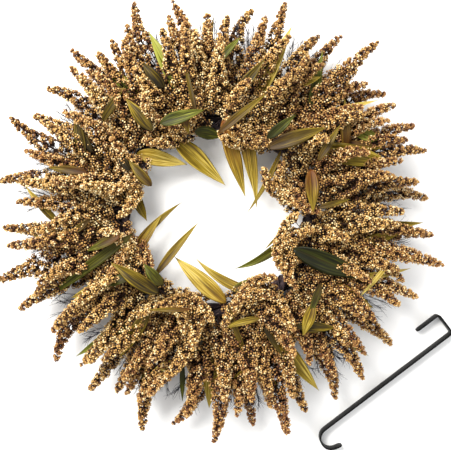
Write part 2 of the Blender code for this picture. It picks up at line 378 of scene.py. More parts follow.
def along_path(path, shares):
    """Points on a path at shares of its length, by straight steps between its own points."""
    gone = np.concatenate([[0], np.cumsum(np.linalg.norm(np.diff(path, axis=0), axis=1))])
    return np.stack([np.interp(np.asarray(shares) * gone[-1], gone, path[:, k]) for k in range(3)], axis=-1)


def path_length(path):
    """A path's length: the sum of the distances between its neighbouring points."""
    return float(np.linalg.norm(np.diff(path, axis=0), axis=1).sum())


test_path = np.array([(0, 0, 0), (3, 0, 0), (3, 4, 0)])
print("a path of 3 and 4 is", path_length(test_path), "long, half way is", along_path(test_path, [0.5]))

# %% [markdown]
# ## The grain finish
#
# The grains are small foam beads, dyed gold in a drum, so every bead's gold differs a little at random.
# Shade and light are painted into that colour too: beads that face out from their knob are painted
# lighter, towards cream, as painted light, and knobs deep in the spray are painted darker brown, as
# painted shade. Foam is matt and slightly pitted. The colour comes from a mark on each bead, its tone,
# which holds both the random gold and the painted shade and light, and a second mark, warmth, turns
# whole sprays towards a reddish brown.

# %% Grain and stem materials
COLOURS = {"data_type": "RGBA"}
MIXED = 2  # the output of a mix node that holds its colour
# Dyed foam beads: matt, each a slightly different gold, with a pitted skin that breaks up the light; the tone ramp
# also paints shade (dark brown deep in a spray) and light (cream on a knob's top)
grain, tree, shader = new_material("gold dyed foam grain", 0.6, 0.35)
tone = add_node(tree, "Attribute", {"attribute_name": "tone"}, "Fac")
dye_and_shade = add_node(tree, "ValToRGB", Fac=tone)
set_stops(dye_and_shade, [(0.0, "#110806"), (0.25, "#402314"), (0.5, "#8A6233"), (0.75, "#CBA15A"), (1.0, "#F6E2AE")])
warmth = add_node(tree, "Attribute", {"attribute_name": "warmth"}, "Fac")
reddened = add_node(tree, "Mix", COLOURS, MIXED, i0=warmth, i6=dye_and_shade, i7=linear("#8E5230"))
tree.links.new(reddened, shader.inputs["Base Color"])
PIT_SIZE = 0.8  # mm across a pit of the foam
place = add_node(tree, "TexCoord", result="Object")
pits = add_node(tree, "TexNoise", Vector=place, Scale=1 / (PIT_SIZE * MM), Detail=1.0, Roughness=0.5)
dents = add_node(tree, "Bump", Height=pits, Strength=0.5, Distance=0.2 * MM)
tree.links.new(dents, shader.inputs["Normal"])

# Wire wound in brown florist's paper: dull, and painted near-black as shade, so the gaps between the beads go deep
stem, tree, shader = new_material("brown paper-wrapped wire", 0.8, 0.25)
tone = add_node(tree, "Attribute", {"attribute_name": "tone"}, "Fac")
paper_tint_and_shade = add_node(tree, "ValToRGB", Fac=tone)
set_stops(paper_tint_and_shade, [(0.0, "#160B07"), (0.5, "#2E1A10"), (1.0, "#5E3A20")])
tree.links.new(paper_tint_and_shade, shader.inputs["Base Color"])
print("grain and stem materials ready")

# %% [markdown]
# ## A grain spray
#
# A real spray is a wire stem with short side branches, and each branch ends in a knob of glued
# beads. The outline is a slim finger at the tip that swells towards the foot. Modelling each bead by
# hand is hopeless, and scattering beads at random looks like dust, so the spray is built the way the
# plant grows: knobs sit on a spiral that turns by the golden angle, closer together where the outline
# is wide, and the beads of a knob sit on the outward part of a small ball by the same spiral.

# %% Beads
GOLDEN = math.pi * (3 - math.sqrt(5))
CORNERS = 5  # round a bead's waist
waist = np.arange(CORNERS) * math.tau / CORNERS
BEAD_POINTS = np.concatenate([
    np.stack([np.cos(waist), np.sin(waist), 0 * waist], axis=1), [[0, 0, 0.86]], [[0, 0, -0.86]]
])
ahead = np.roll(np.arange(CORNERS), -1)
BEAD_FACES = np.concatenate([
    np.stack([np.arange(CORNERS), ahead, np.full(CORNERS, CORNERS)], axis=1),
    np.stack([ahead, np.arange(CORNERS), np.full(CORNERS, CORNERS + 1)], axis=1),
])


def beads(centres, poles, radii, slot, **marks):
    """A bead of ten triangles at each centre, pole outwards: centre + radius x (x side + y up + z pole)."""
    count, corners = len(centres), len(BEAD_POINTS)
    poles = unit(poles)
    side = unit(np.cross(poles, [0.31, 0.53, 0.79]))
    up = np.cross(poles, side)
    local = BEAD_POINTS[None, :, :, None] * np.stack([side, up, poles], axis=1)[:, None]
    points = (centres[:, None] + np.reshape(radii, (-1, 1, 1)) * local.sum(axis=2)).reshape(-1, 3)
    faces = (np.arange(count)[:, None, None] * corners + BEAD_FACES).reshape(-1, 3)
    marks = {name: np.repeat(np.broadcast_to(value, count), corners) for name, value in marks.items()}
    return shape(points, [faces], slot, [np.repeat(np.arange(count), len(BEAD_FACES))], **marks)


print(len(BEAD_POINTS), "points and", len(BEAD_FACES), "triangles a bead")

# %% The outline of a spray
BEAD_RADIUS = 1.8
KNOB_BEADS = 13
KNOB_COVER = 1.3  # how far down the ball the beads reach, from 0 at its top to 2 right round
KNOB_SPACING = 12.2
BARE_STEM = 9.0
# Distance from the tip, and the outline's radius there
OUTLINE = np.array([
    (0, 6.2), (8, 7.8), (33, 10.7), (57, 15.8), (80, 20.5), (105, 25.0), (140, 27.0), (190, 21.0)
])
# Distance from the tip, and the radius of a knob and the beads it has there
KNOBS = np.array([(0, 2.7, 8), (30, 3.1, 8), (60, 4.2, 10), (110, 5.5, KNOB_BEADS)])


def outline_radius(gone, length, fullness):
    """The spray's radius by distance from its tip, held in near the foot to 9 mm plus 0.8 of the way left."""
    wide = np.interp(gone, OUTLINE[:, 0], OUTLINE[:, 1])
    body = np.clip((gone - 45) / 40, 0, 1)
    return np.minimum(wide * (1 + (fullness - 1) * body), 9 + 0.8 * (length - gone))


def knob_places(length, fullness):
    """Distances from the tip: equal steps of the summed density 2 pi r / spacing squared."""
    gone = np.arange(0.5, length - BARE_STEM, 0.5)
    knob = np.interp(gone, KNOBS[:, 0], KNOBS[:, 1])
    reach = np.maximum(outline_radius(gone, length, fullness) - knob - BEAD_RADIUS, 2.6)
    tight = np.interp(
        gone, [0, 40, 80, length - 55, length], [5.3, 6.9, KNOB_SPACING, KNOB_SPACING, 1.25 * KNOB_SPACING]
    )
    summed = np.cumsum(math.tau * reach / tight ** 2 * 0.5)
    count = int(summed[-1])
    return np.interp((np.arange(count) + 0.5) / count * summed[-1], summed, gone)


print("a spray 190 mm long has", len(knob_places(190, 1.0)), "knobs")

# %% Knobs along a stem
MISSING = 0.06  # share of the knobs that have broken off
UNEVEN = (-0.24, 0.12)  # share by which a knob's reach falls short of the outline or passes it
LEAN, TIP_LEAN = 28, 55  # degrees towards the tip, everywhere and more at the very tip


def knobs_along(path, chance, fullness):
    """
    Where a spray's knobs are: centre = stem + reach x (side cos turn + up sin turn), turn growing by the
    golden angle, out = that way leaned towards the tip. No centre lies below a bead over the surface.
    """
    length = path_length(path) / MM
    gone = knob_places(length, fullness)
    gone = gone[chance.random(len(gone)) > MISSING * np.clip(gone / 60, 0, 1)]
    count, share = len(gone), 1 - gone / length
    spot = along_path(path, share)
    way = unit(along_path(path, np.minimum(share + 0.02, 1)) - along_path(path, share - 0.02))
    side = unit(np.cross([0.0, 0.0, 1.0], way))
    up = np.cross(way, side)
    turn = GOLDEN * np.arange(count) + chance.uniform(0, math.tau) + chance.normal(0, 0.25, count)
    radial = side * np.cos(turn)[:, None] + up * np.sin(turn)[:, None]
    size = np.interp(gone, KNOBS[:, 0], KNOBS[:, 1]) * chance.uniform(0.85, 1.18, count)
    edge = outline_radius(gone, length, fullness)
    uneven = chance.uniform(*UNEVEN, count) * np.clip(gone / 70, 0, 1)
    reach = np.maximum(edge - size - 0.8 * BEAD_RADIUS, 0) * (1 + uneven)
    reach *= np.clip(gone / 5, 0.35, 1)
    lean = np.radians(LEAN + TIP_LEAN * np.exp(-gone / 9) + chance.normal(0, 9, count))
    out = unit(radial * np.cos(lean)[:, None] + way * np.sin(lean)[:, None])
    centre = spot + (radial * reach[:, None] + way * chance.normal(0, 1.6, count)[:, None]) * MM
    centre[:, 2] = np.maximum(centre[:, 2], (1.2 * size + BEAD_RADIUS) * MM)
    root = along_path(path, np.clip(share - 7 / length, 0, 1))
    depth = np.clip(reach / np.maximum(edge, 1), 0, 1)
    return SimpleNamespace(
        gone=gone, way=way, side=side, out=out, centre=centre, size=size, root=root, depth=depth
    )


print("knobs lean by", LEAN, "to", LEAN + TIP_LEAN, "degrees towards the tip")

# %% Beads on the knobs
# Painted shade and painted light in each bead's tone: knobs deep in the spray are darker, beads on a knob's top
# are lighter
DARK_TONE, DEPTH_SHADE_TONE, TOP_LIGHT_TONE = 0.365, 0.115, 0.36


def beads_on(knobs, chance, light):
    """
    A knob's beads: centre + far x (wide cos spin across + wide sin spin other + 1.2 height out), spin
    growing by the golden angle. Tone = dark tone + share of depth + share of height + chance; the depth
    share is painted shade, darker for knobs deep in the spray, and the height share is painted light,
    lighter for beads on a knob's top.
    """
    across = unit(np.cross(knobs.out, knobs.way + 0.3 * knobs.side))
    other = np.cross(knobs.out, across)
    count, number = len(knobs.gone), np.arange(KNOB_BEADS)
    held = np.rint(np.interp(knobs.gone, KNOBS[:, 0], KNOBS[:, 2]))[:, None]
    here = number < held
    height = np.maximum(1 - (number + 0.5) / held * KNOB_COVER, -0.9)
    wide = np.sqrt(1 - height ** 2)
    spin = chance.uniform(0, math.tau, count)[:, None] + GOLDEN * number
    aim = (
        across[:, None] * (wide * np.cos(spin))[..., None]
        + other[:, None] * (wide * np.sin(spin))[..., None]
        + knobs.out[:, None] * (height * 1.2)[..., None]
    )
    far = knobs.size[:, None] * chance.uniform(0.88, 1.16, (count, KNOB_BEADS))
    spots = (knobs.centre[:, None] + aim * (far * MM)[..., None])[here]
    sizes = BEAD_RADIUS * chance.uniform(0.78, 1.15, len(spots)) * MM
    knob_tone_and_shade = DARK_TONE + DEPTH_SHADE_TONE * knobs.depth + chance.normal(0, 0.06, count) + light
    tones_and_shade = knob_tone_and_shade[:, None] + TOP_LIGHT_TONE * height + chance.normal(0, 0.15, (count, KNOB_BEADS))
    return spots, aim[here], sizes, np.clip(tones_and_shade, 0.03, 1)[here]


print("a top bead's tone is about", DARK_TONE + TOP_LIGHT_TONE, "to", DARK_TONE + DEPTH_SHADE_TONE + TOP_LIGHT_TONE)

# %% A whole spray
STALK_RADIUS = 0.55
STEM_STEPS = 14
STEM_RADII = (2.2, 0.7)  # at the foot and at the tip


def spray(path, seed, fullness, warmth, light):
    """Beads round a path from foot to tip, the balls they sit on, stalks from stem to ball, and the stem."""
    chance = np.random.default_rng(seed)
    knobs = knobs_along(path, chance, fullness)
    spots, poles, sizes, tones_and_shade = beads_on(knobs, chance, light)
    count = len(knobs.gone)
    stalks = np.stack([knobs.root, knobs.centre], axis=1)
    trunk = along_path(path, np.linspace(0, 0.99, STEM_STEPS))[None]
    return joined([
        beads(spots, poles, sizes, 0, tone=tones_and_shade, warmth=warmth),
        # The balls under the beads wear the near-black paper finish: painted shade in the gaps between the beads
        beads(knobs.centre, knobs.out, knobs.size * MM, 1, tone=chance.uniform(0.1, 0.6, count)),
        tubes(stalks, np.full((count, 2), STALK_RADIUS * MM), 3, slot=1, tone=0.4),
        tubes(trunk, np.linspace(*STEM_RADII, STEM_STEPS)[None] * MM, 6, slot=1, tone=0.5),
    ])


trial = spray(np.linspace((0, 0, 0.1), (0.19, 0, 0.1), 9), 1, 1.0, 0.1, 0.0)
print("a spray 190 mm long has", sum(len(f) for f in trial.faces), "faces")

# %% [markdown]
# ## The paths of the sprays
#
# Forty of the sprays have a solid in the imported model. Its tube has nine rings of points, so sorting
# its points into nine bins along its chord gives the middle line back. The other sprays of a bunch
# stand between those, on the same kind of arc: a circle's arc on a chord of the spray's length.

# %% Paths of the sprays
RINGS = 9
STEM_REACH = 18.4  # mm from the ring's centre line to a stem's foot
MOST_SWAY = 20.0


def solid_points(node):
    """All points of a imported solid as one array, (n, 3), in metres."""
    mesh = frame["nodes"][node].data
    places = np.zeros(len(mesh.vertices) * 3, np.float32)
    mesh.vertices.foreach_get("co", places)
    return places.reshape(-1, 3).astype(float)


def solid_path(node, hinge):
    """The middle line of a spray's solid, foot first: means of its points in nine bins along its chord."""
    points = solid_points(node)
    order = np.argsort(np.linalg.norm(points - hinge, axis=1))
    foot, tip = points[order[:8]].mean(axis=0), points[order[-8:]].mean(axis=0)
    chord = tip - foot
    along = (points - foot) @ chord / (chord @ chord)
    bins = np.clip(np.rint(along * (RINGS - 1)), 0, RINGS - 1).astype(int)
    sums = np.stack([np.bincount(bins, points[:, k], RINGS) for k in range(3)], axis=1)
    return sums / np.bincount(bins, minlength=RINGS)[:, None]


def arc_path(bearing, foot, heading, rise, length, arch):
    """
    A path from the ring: a circle's arc that turns by arch, its radius length / (2 sin half the arch), on
    a chord that climbs by rise; the foot is 0 at the ring's outer side and 90 in front of it.
    """
    half = math.radians(arch) / 2
    turn = np.linspace(half, -half, RINGS)
    scale = length / (2 * math.sin(half))
    ahead = scale * (math.sin(half) - np.sin(turn))
    above = scale * (np.cos(turn) - math.cos(half))
    climb = math.radians(rise)
    flat = ahead * math.cos(climb) - above * math.sin(climb)
    high = ahead * math.sin(climb) + above * math.cos(climb)
    foot_turn = math.radians(foot)
    start = at(bearing, ring_radius / MM + STEM_REACH * math.cos(foot_turn),
               middle[2] / MM + STEM_REACH * math.sin(foot_turn))
    course = np.array([math.cos(math.radians(heading)), math.sin(math.radians(heading)), 0.0])
    return start + (flat[:, None] * course + high[:, None] * np.array([0, 0, 1.0])) * MM


def bearing_of(point):
    """The bearing of a point from the wreath's middle, in degrees from 0 to 360."""
    return float(np.degrees(np.arctan2(point[1] - middle[1], point[0] - middle[0])) % 360)


def bent(path, lean):
    """The path, its tip turned by lean: moved sideways by length x tan(lean) x (share^3 - share^2)."""
    share = np.linspace(0, 1, len(path))
    ahead = unit((path[-1] - path[0]) * [1, 1, 0])
    side = np.array([-ahead[1], ahead[0], 0.0])
    size = np.linalg.norm(path[-1] - path[0]) * math.tan(math.radians(lean))
    return path + side * (size * (share ** 3 - share ** 2))[:, None]


def swayed(path, bearing, reach, lean):
    """The path drawn towards a tip's place by share squared, by 20 mm at the most, then bent."""
    tip = path[-1]
    wish = at(bearing, reach, tip[2] / MM) - tip
    size = np.linalg.norm(wish) / MM
    wish = wish * min(1.0, MOST_SWAY / max(size, 1e-6))
    return bent(path + wish * (np.linspace(0, 1, len(path)) ** 2)[:, None], lean)


print("the foot of spray_inner_1 is at", solid_path("spray_inner_1", hinges["bunch_1"])[0].round(4))


# %% [markdown]
# ## The outer sprays
#
# The tips of a bound wreath are never evenly spaced, and few point straight out. The table gives
# each outer tip's bearing, its reach and the angle by which it leans off the radial way. A tip within
# a few degrees of a solid's tip is taken by that spray, which sways over to it; what is left over is
# made as fill-in sprays of the bunch that lies there.

# %% Outer tips
OUTER_TIPS = [
    (4, 350, -20), (17, 347, -30), (25, 345, -28), (36, 342, -38), (46, 371, -12), (56, 362, -25),
    (72, 359, -12), (80, 345, -30), (92, 325, -5), (102, 364, 12), (111, 367, -19), (120, 328, -13),
    (131, 360, 0), (143, 350, 32), (154, 374, -20), (171, 360, 32), (183, 352, 5), (196, 366, 9),
    (208, 359, 4), (225, 354, 36), (234, 357, -8), (243, 318, 0), (251, 364, 15), (258, 345, -35),
    (270, 356, -20), (281, 322, -5), (289, 365, -9), (296, 328, -10), (302, 360, -26), (312, 350, -27),
    (326, 366, -21), (338, 349, -6), (347, 366, -10), (355, 357, -15),
]
NEAR = 7.5  # degrees


def turn_between(a, b):
    """The turn from b to a in degrees, from -180 to 180: the remainder of (a - b + 180) / 360, less 180."""
    return (a - b + 180) % 360 - 180


outer_nodes = sorted(n for n in frame["nodes"] if n.startswith("spray_outer"))
body_of_node = {n: body for body, ns in frame["record"]["behaviour"]["bodies"].items() for n in ns}
paths = {n: solid_path(n, hinges[body_of_node[n]]) for n in frame["nodes"] if n.startswith("spray")}
tips_left = list(OUTER_TIPS)
pairs = sorted(
    (abs(turn_between(bearing_of(paths[n][-1]), tip[0])), n, tip)
    for n in outer_nodes for tip in OUTER_TIPS
)
taken = {}
for apart, n, tip in pairs:
    if apart < NEAR and n not in taken and tip in tips_left:
        taken[n] = tip
        tips_left.remove(tip)
for n, tip in taken.items():
    paths[n] = swayed(paths[n], *tip)
print(len(taken), "solids take a tip")

# %% The lean of the sprays behind the tips
LEAN_WIDTH = 12  # degrees, the spread of the bell


def lean_near(bearing):
    """The outer tips' mean lean, each weighed by exp(-(turn squared) / (2 x width squared))."""
    rows = np.array(OUTER_TIPS, float)
    weight = np.exp(-turn_between(rows[:, 0], bearing) ** 2 / (2 * LEAN_WIDTH ** 2))
    return float((weight * rows[:, 2]).sum() / weight.sum())


# How far a tip may move in or out, by the kind of its spray
SHIFT = {"inner": (-18, -6), "middle": (-6, 6)}
sway = np.random.default_rng(11)
for n in sorted(set(paths) - set(outer_nodes)):
    tip = paths[n][-1]
    reach = np.linalg.norm((tip - middle)[:2]) / MM
    lean = lean_near(bearing_of(tip)) + sway.uniform(-12, 12)
    bearing = bearing_of(tip) + sway.uniform(-4.5, 4.5)
    reach += sway.uniform(*SHIFT[n.split("_")[1]])
    paths[n] = swayed(paths[n], bearing, reach, lean)
print(len(taken), "solids take a tip,", len(tips_left), "tips are left for fill-in sprays:", tips_left)

# %% [markdown]
# ## The sprays of each bunch
#
# Each packed spray gets its own piece, which stands for its solid. The fill-in sprays of a bunch are
# one piece. Low outer sprays are painted a warmer and a little darker brown, painted shade for where they
# lie under the others, and those in front are painted a paler gold, painted light.

# %% Sprays from the solids
# Painted shade and light by layer: low outer sprays a little darker and warmer, as painted shade, middle and inner
# sprays in front a little lighter, as painted light; each spray's warmth and lightness also vary at random
STYLE = {
    "outer": dict(fullness=1.0, warmth=0.14, light=-0.02),
    "middle": dict(fullness=1.0, warmth=0.10, light=0.03),
    "inner": dict(fullness=1.06, warmth=0.06, light=0.03),
}
look = np.random.default_rng(5)


def styled(path, kind, leanest, fullest):
    """A spray of its kind: fullness times a chance share, warmth and lightness plus a chance amount."""
    style = STYLE[kind]
    fullness = style["fullness"] * look.uniform(leanest, fullest)
    warmth = float(np.clip(style["warmth"] + look.normal(0, 0.11), 0, 0.5))
    light = style["light"] + look.normal(0, 0.05)
    return spray(path, int(look.integers(1 << 30)), fullness, warmth, light)


for node in sorted(paths):
    made = styled(paths[node], node.split("_")[1], 0.88, 1.12)
    name, body = node.replace("spray", "grain"), body_of_node[node]
    add_piece(name, made, (grain, stem), body, (node,), with_map=True)

# %% Fill-in sprays at the tips and between them
WIDE_GAP = 7.5  # degrees between two tips that leave room for a shorter spray
fill_ins = {number: [] for number in range(1, BUNCHES + 1)}
for bearing, reach, lean in tips_left:
    rise = look.uniform(17, 24)
    heading = bearing + look.uniform(-2, 2)
    length = (reach - ring_radius / MM - 16) / math.cos(math.radians(rise))
    path = bent(arc_path(bearing, 30, heading, rise, length, 16), lean)
    fill_ins[bunch_at(bearing)].append(("outer", path))
tip_bearings = sorted(tip[0] for tip in OUTER_TIPS)
for first, second in zip(tip_bearings, tip_bearings[1:] + [tip_bearings[0] + 360]):
    if second - first > WIDE_GAP:
        bearing = (first + second) / 2 + look.uniform(-1.5, 1.5)
        heading = bearing + look.uniform(-7, 7)
        arc = arc_path(bearing, 44, heading, look.uniform(18, 24), look.uniform(152, 172), 18)
        fill_ins[bunch_at(bearing)].append(("outer", bent(arc, lean_near(bearing) + look.uniform(-15, 15))))
print({number: len(entries) for number, entries in fill_ins.items()}, "sprays at and between the tips")

# %% Fill-in sprays on the ring's front
# For each: its turn from the middle of the bunch, foot, rise, length, and how far its heading may stray
MIDDLE_FILL = (
    (-20.0, 62, 28, 150, 14), (-3.5, 60, 30, 152, 14), (3.5, 82, 45, 138, 20), (10.5, 54, 25, 156, 14),
    (18.5, 74, 38, 144, 20),
)
# For each: its turn, foot, the veer of its heading off the radial way, rise and length
INNER_FILL = (
    (-18.0, 112, 66, 38, 112), (-7.0, 126, 84, 44, 104), (16.0, 118, -72, 40, 110), (4.0, 104, -52, 50, 106),
)
for number in range(1, BUNCHES + 1):
    mid = (number - 0.5) * 360 / BUNCHES
    for turn, foot, rise, length, stray in MIDDLE_FILL:
        bearing = mid + turn + look.uniform(-2, 2)
        lie = 0.6 * lean_near(bearing)
        heading = bearing + lie + look.uniform(-stray, stray)
        rise, length = rise + look.uniform(-4, 4), length * look.uniform(0.93, 1.04)
        path = bent(arc_path(bearing, foot, heading, rise, length, 22), lie + look.uniform(-12, 12))
        fill_ins[number].append(("middle", path))
    # The inner sprays hang over the opening's edge, most of all at the side of bearing 0
    drape = 1.3 * max(0.0, math.cos(math.radians(mid))) + 0.3
    for turn, foot, veer, rise, length in INNER_FILL:
        bearing = mid + turn + look.uniform(-2, 2)
        veer += math.copysign(9 + drape * 22, veer) + look.uniform(-10, 10)
        rise, length = rise + look.uniform(-4, 4), length * look.uniform(0.93, 1.04)
        arc = arc_path(bearing, foot + drape * 12, bearing + veer, rise, length, 26)
        fill_ins[number].append(("inner", bent(arc, -math.copysign(30 + 14 * drape, veer))))
for number, entries in fill_ins.items():
    made = joined([styled(path, kind, 0.85, 1.1) for kind, path in entries])
    add_piece(f"grain_fill_{number}", made, (grain, stem), f"bunch_{number}", with_map=True)
print("so far", piece_count.pieces, "pieces,", piece_count.triangles, "triangles")

# %% [markdown]
# ## The leaf finish
#
# The leaves are die-cut and pressed from a soft printed plastic film with a low sheen. The print has
# fine veins that run along the blade, a darker midrib and, on some, a rusty foot. Each blade is also
# painted darker towards its foot and lighter towards its point: painted shade where the foot lies under
# the sprays. The pattern follows the blade, so it is drawn with the marks along and across.

# %% Leaf material
# Die-cut, pressed and printed film: a soft low sheen along the veins and a darker midrib
leaf_film, tree, shader = new_material("olive printed leaf film", 0.5, 0.15)
along = add_node(tree, "Attribute", {"attribute_name": "along"}, "Fac")
across = add_node(tree, "Attribute", {"attribute_name": "across"}, "Fac")
blade = add_node(tree, "Attribute", {"attribute_name": "blade"}, "Fac")
light = add_node(tree, "Attribute", {"attribute_name": "light"}, "Fac")
rust = add_node(tree, "Attribute", {"attribute_name": "rust"}, "Fac")
TIMES, PLUS, LESS, POWER, SIZE, ABOVE, BELOW = (
    {"operation": name}
    for name in ("MULTIPLY", "ADD", "SUBTRACT", "POWER", "ABSOLUTE", "GREATER_THAN", "LESS_THAN")
)
# Veins from midrib to edge, about 1.5 mm apart, stretched along the blade and shifted leaf by leaf
VEINS = 7.0
vein_along = add_node(tree, "Math", TIMES, i0=along, i1=1.4)
vein_across = add_node(tree, "Math", TIMES, i0=across, i1=VEINS / 2)
vein_shift = add_node(tree, "Math", TIMES, i0=blade, i1=40.0)
grid_place = add_node(tree, "CombineXYZ", X=vein_along, Y=vein_across, Z=vein_shift)
veins = add_node(tree, "TexNoise", Vector=grid_place, Scale=1.6, Detail=2.0)
print("veins read", len(tree.nodes), "nodes")

# %% Leaf colours
# Lightness: the leaf's own + 1.5 (vein - 0.5) + 0.38 (along - 0.5) + 0.12 |across|^6; the along term is painted
# shade, darker at the foot under the sprays and lighter at the point
vein_part = add_node(tree, "Math", TIMES, i0=add_node(tree, "Math", LESS, i0=veins, i1=0.5), i1=1.5)
foot_shade_tip_light = add_node(tree, "Math", TIMES, i0=add_node(tree, "Math", LESS, i0=along, i1=0.5), i1=0.38)
from_midrib = add_node(tree, "Math", SIZE, i0=across)
rim_part = add_node(tree, "Math", TIMES, i0=add_node(tree, "Math", POWER, i0=from_midrib, i1=6.0), i1=0.12)
blade_part = add_node(tree, "Math", PLUS, i0=light, i1=vein_part)
edge_part = add_node(tree, "Math", PLUS, i0=foot_shade_tip_light, i1=rim_part)
tint = add_node(tree, "Math", PLUS, i0=blade_part, i1=edge_part)
film_tint = add_node(tree, "ValToRGB", Fac=tint)
set_stops(film_tint, [
    (0.0, "#171104"), (0.3, "#382C08"), (0.55, "#5F4E0E"), (0.8, "#8F7A24"), (1.0, "#BCA758")
])
green_tint = add_node(tree, "ValToRGB", Fac=tint)
set_stops(green_tint, [(0.0, "#121305"), (0.4, "#2B2D08"), (0.7, "#505212"), (1.0, "#8E8F3C")])
is_green = add_node(tree, "Math", ABOVE, i0=blade, i1=0.76)
greened = add_node(tree, "Mix", COLOURS, MIXED, i0=is_green, i6=film_tint, i7=green_tint)
# Rust: its mark x 0.65 (1 - along)^1.6
from_tip = add_node(tree, "Math", LESS, i0=1.0, i1=along)
foot_share = add_node(tree, "Math", TIMES, i0=add_node(tree, "Math", POWER, i0=from_tip, i1=1.6), i1=0.65)
rust_share = add_node(tree, "Math", TIMES, i0=rust, i1=foot_share)
rusty = add_node(tree, "Mix", COLOURS, MIXED, i0=rust_share, i6=greened, i7=linear("#7A3315"))
# The midrib: 0.45 where |across| is below 0.07
midrib = add_node(tree, "Math", TIMES, i0=add_node(tree, "Math", BELOW, i0=from_midrib, i1=0.07), i1=0.45)
ribbed = add_node(tree, "Mix", COLOURS, MIXED, i0=midrib, i6=rusty, i7=linear("#2E2408"))
tree.links.new(ribbed, shader.inputs["Base Color"])
pressed = add_node(tree, "Bump", Height=veins, Strength=0.6, Distance=0.5 * MM)
tree.links.new(pressed, shader.inputs["Normal"])
print("leaf material ready,", len(tree.nodes), "nodes")

# %% [markdown]
# ## A leaf
#
# A leaf is a blade carried along a curved midrib: it starts at the foot with a heading and a climb,
# the heading sweeps and the climb falls as it goes, and the midrib is the sum of those small steps.
# The cross-section is a closed loop, an upper side that folds up from the midrib and a lower side
# just under it, so the leaf has a real thickness and no open edge.

# %% Leaf shape
LEAF_STEPS = 22
LEAF_THICKNESS = 0.45
UPPER = np.linspace(1, -1, 9)
LOWER = np.linspace(-0.75, 0.75, 7)
LOOP = np.concatenate([UPPER, LOWER])
UNDER = np.repeat([0.0, 1.0], [len(UPPER), len(LOWER)])


def half_width(share):
    """Half a blade's width over its widest: 3.755 x share^0.75 x (1 - share)^1.25, which is 1 at its peak."""
    return 3.755 * share ** 0.75 * (1 - share) ** 1.25


def leaf(foot, heading, length, width, rise, sweep, droop, roll, chance, light, rust):
    """One blade: midrib = foot + sum of steps (cos climb cos course, cos climb sin course, sin climb)."""
    share = np.linspace(0, 1, LEAF_STEPS)
    course = np.radians(heading + sweep * share)
    climb = np.radians(rise + droop * (0.5 - share))
    way = np.stack([np.cos(climb) * np.cos(course), np.cos(climb) * np.sin(course), np.sin(climb)], axis=1)
    steps = (way[1:] + way[:-1]) / 2 * length * MM / (LEAF_STEPS - 1)
    spine = foot + np.concatenate([np.zeros((1, 3)), np.cumsum(steps, axis=0)])
    level = np.stack([-np.sin(course), np.cos(course), 0 * course], axis=1)
    above = np.cross(way, level)
    bank = np.radians(roll * (1 - 0.6 * share))[:, None]
    side = level * np.cos(bank) + above * np.sin(bank)
    normal = above * np.cos(bank) - level * np.sin(bank)
    wide = (half_width(share) * width / 2 + 0.5 * (1 - share) + 0.15)[:, None] * LOOP
    fold = 0.14 * width * np.sin(math.pi * share ** 0.8)[:, None] * np.abs(LOOP) ** 1.4
    ripple = np.sin(math.tau * 2.3 * share + chance.uniform(0, 6))[:, None]
    wave = 0.035 * width * ripple * LOOP * np.abs(LOOP)
    lift = fold + wave - LEAF_THICKNESS * UNDER
    points = spine[:, None] + (wide[..., None] * side[:, None] + lift[..., None] * normal[:, None]) * MM
    quads, _ = grid_faces(1, LEAF_STEPS, len(LOOP))
    start = np.arange(len(LOOP))[None]
    faces = [quads, start[:, ::-1], start + (LEAF_STEPS - 1) * len(LOOP)]
    return shape(
        points.reshape(-1, 3), faces, 0, None,
        along=np.repeat(share, len(LOOP)), across=np.tile(LOOP, LEAF_STEPS),
        blade=chance.random(), light=light, rust=rust,
    )


print("a blade is widest at", half_width(np.linspace(0, 1, 101)).argmax(), "percent of its length")


# %% [markdown]
# ## Where the leaves are
#
# Each row is a leaf: the bearing, reach and height of its foot, its heading, length, width and climb,
# its sweep, how light it is and how rusty its foot is. The inner table is the leaves that reach into
# the opening; the outer one is those that show between the sprays.

# %% Leaf tables
INNER_LEAVES = (
    (44, 144, 60, -111, 114, 8, -10, -15, 0.6, 0.1), (66, 141, 60, -85, 119, 13, -7, 0, 0.65, 0.2),
    (74, 147, 65, -78, 106, 13, -11, 0, 0.6, 0.6), (85, 148, 70, -73, 125, 25, -12, 0, 0.65, 0.9),
    (103, 139, 75, -7, 48, 21, -18, 0, 0.35, 0), (118, 141, 56, -42, 112, 31, -8, 0, 0.75, 0.1),
    (141, 161, 55, -12, 80, 26, -7, 0, 0.85, 0.25), (148, 178, 60, -41, 47, 17, -12, 0, 0.3, 0),
    (164, 140, 60, -66, 53, 18, -11, 0, 0.45, 0.1), (203, 152, 55, 56, 121, 12, -5, -22, 0.5, 0.4),
    (206, 144, 58, 62, 78, 13, -4, -8, 0.55, 0.5), (224, 133, 60, 54, 109, 13, -8, -6, 0.55, 0.15),
    (275, 138, 62, 139, 109, 28, -9, 0, 0.8, 0.35), (283, 125, 58, 28, 45, 13, -4, 0, 0.6, 0.3),
    (297, 142, 60, 169, 116, 16, -8, -36, 0.65, 0.3), (339, 114, 66, -98, 46, 23, -14, 0, 0.7, 0),
    (344, 121, 60, -128, 105, 15, -8, -38, 0.55, 0.2), (346, 111, 55, -134, 41, 4, -7, 0, 0.6, 0.1),
)
